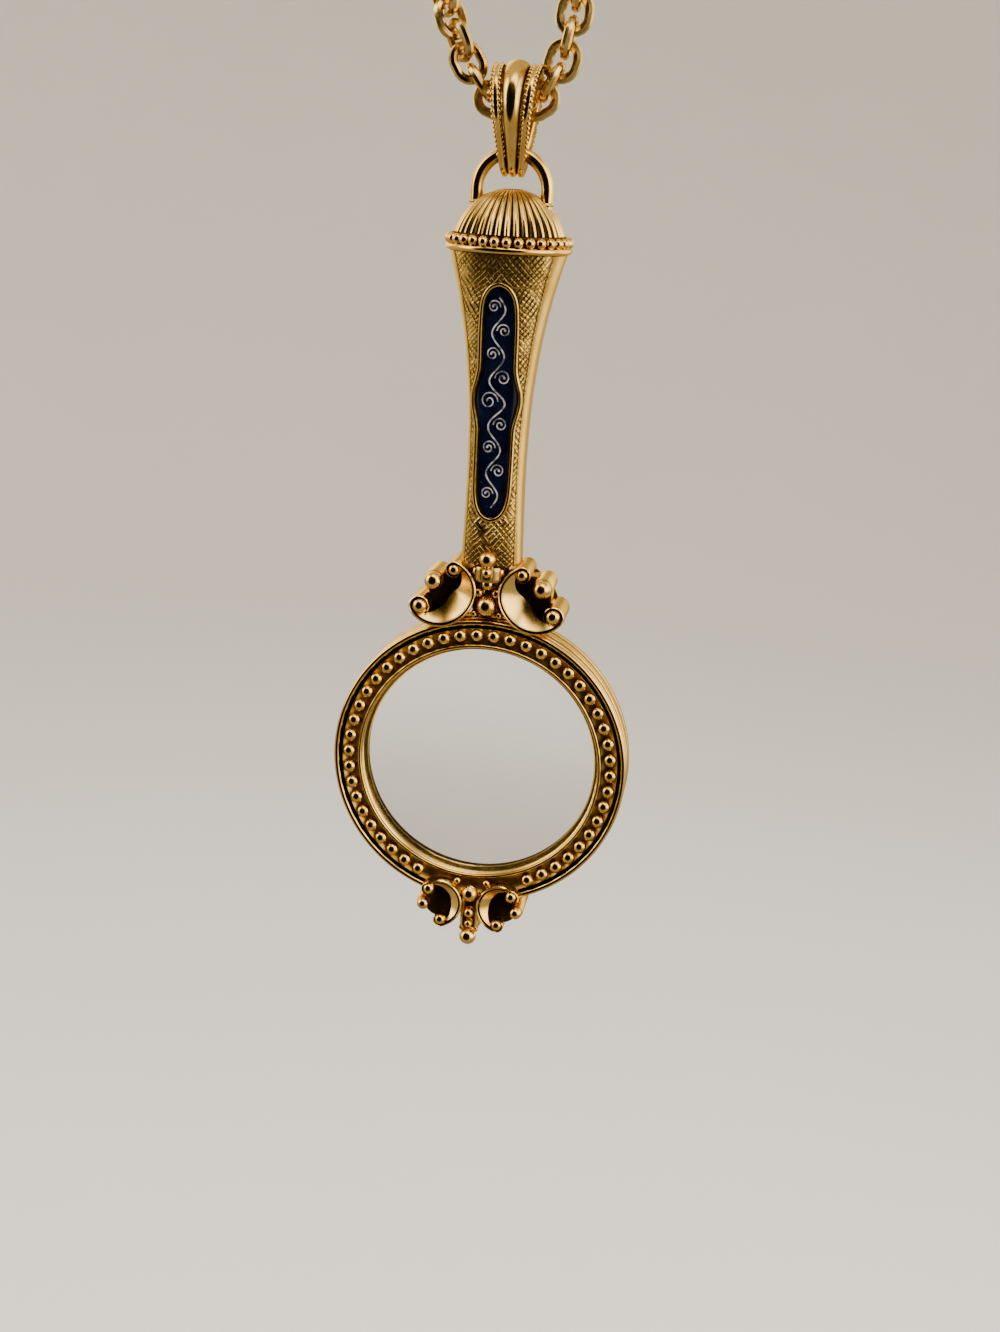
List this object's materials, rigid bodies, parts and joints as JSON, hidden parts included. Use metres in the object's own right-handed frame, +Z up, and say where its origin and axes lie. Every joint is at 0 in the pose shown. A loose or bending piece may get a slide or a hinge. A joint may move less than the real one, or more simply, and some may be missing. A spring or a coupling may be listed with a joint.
{
  "type": "magnifier pendant necklace",
  "caption": "Magnifier pendant shaped like a small hand mirror, its lens in a beaded ring under a flared handle, hanging by a loop and bail on a cable chain.",
  "frame": {"origin": "in the middle of the clasp, at the nape, where the necklace hangs when it is worn; the chain, bail and pendant hang below it", "axes": "+X to the wearer's left, which is right as seen from the front; +Y to the back, away from the viewer, so the pendant's front faces -Y; +Z up"},
  "size_m": [0.1255, 0.0122, 0.2716],
  "materials": {
    "gold": "polished, with darkened recesses",
    "worn_gold": "cross-hatched and darkened",
    "dark_enamel": "glossy blue-black",
    "lens_glass": "clear, polished"
  },
  "bodies": {
    "chain": {"chain_left": "gold", "chain_right": "gold", "clasp": "gold"},
    "bail": {"bail": "gold"},
    "pendant": {"cap": "gold", "collar": "gold", "handle": "worn_gold", "plate": "dark_enamel", "crest": "gold", "bezel": "gold", "lens": "lens_glass", "foot": "gold"}
  },
  "joints": [
    {"name": "bail_swing", "type": "hinge", "parent": "chain", "child": "bail", "pos_m": [0, 0, -0.18737], "axis": [1, 0, 0], "range_deg": [-60, 60]},
    {"name": "pendant_swing", "type": "hinge", "parent": "bail", "child": "pendant", "pos_m": [0, 0, -0.19487], "axis": [0, 1, 0], "range_deg": [-30, 30]}
  ]
}
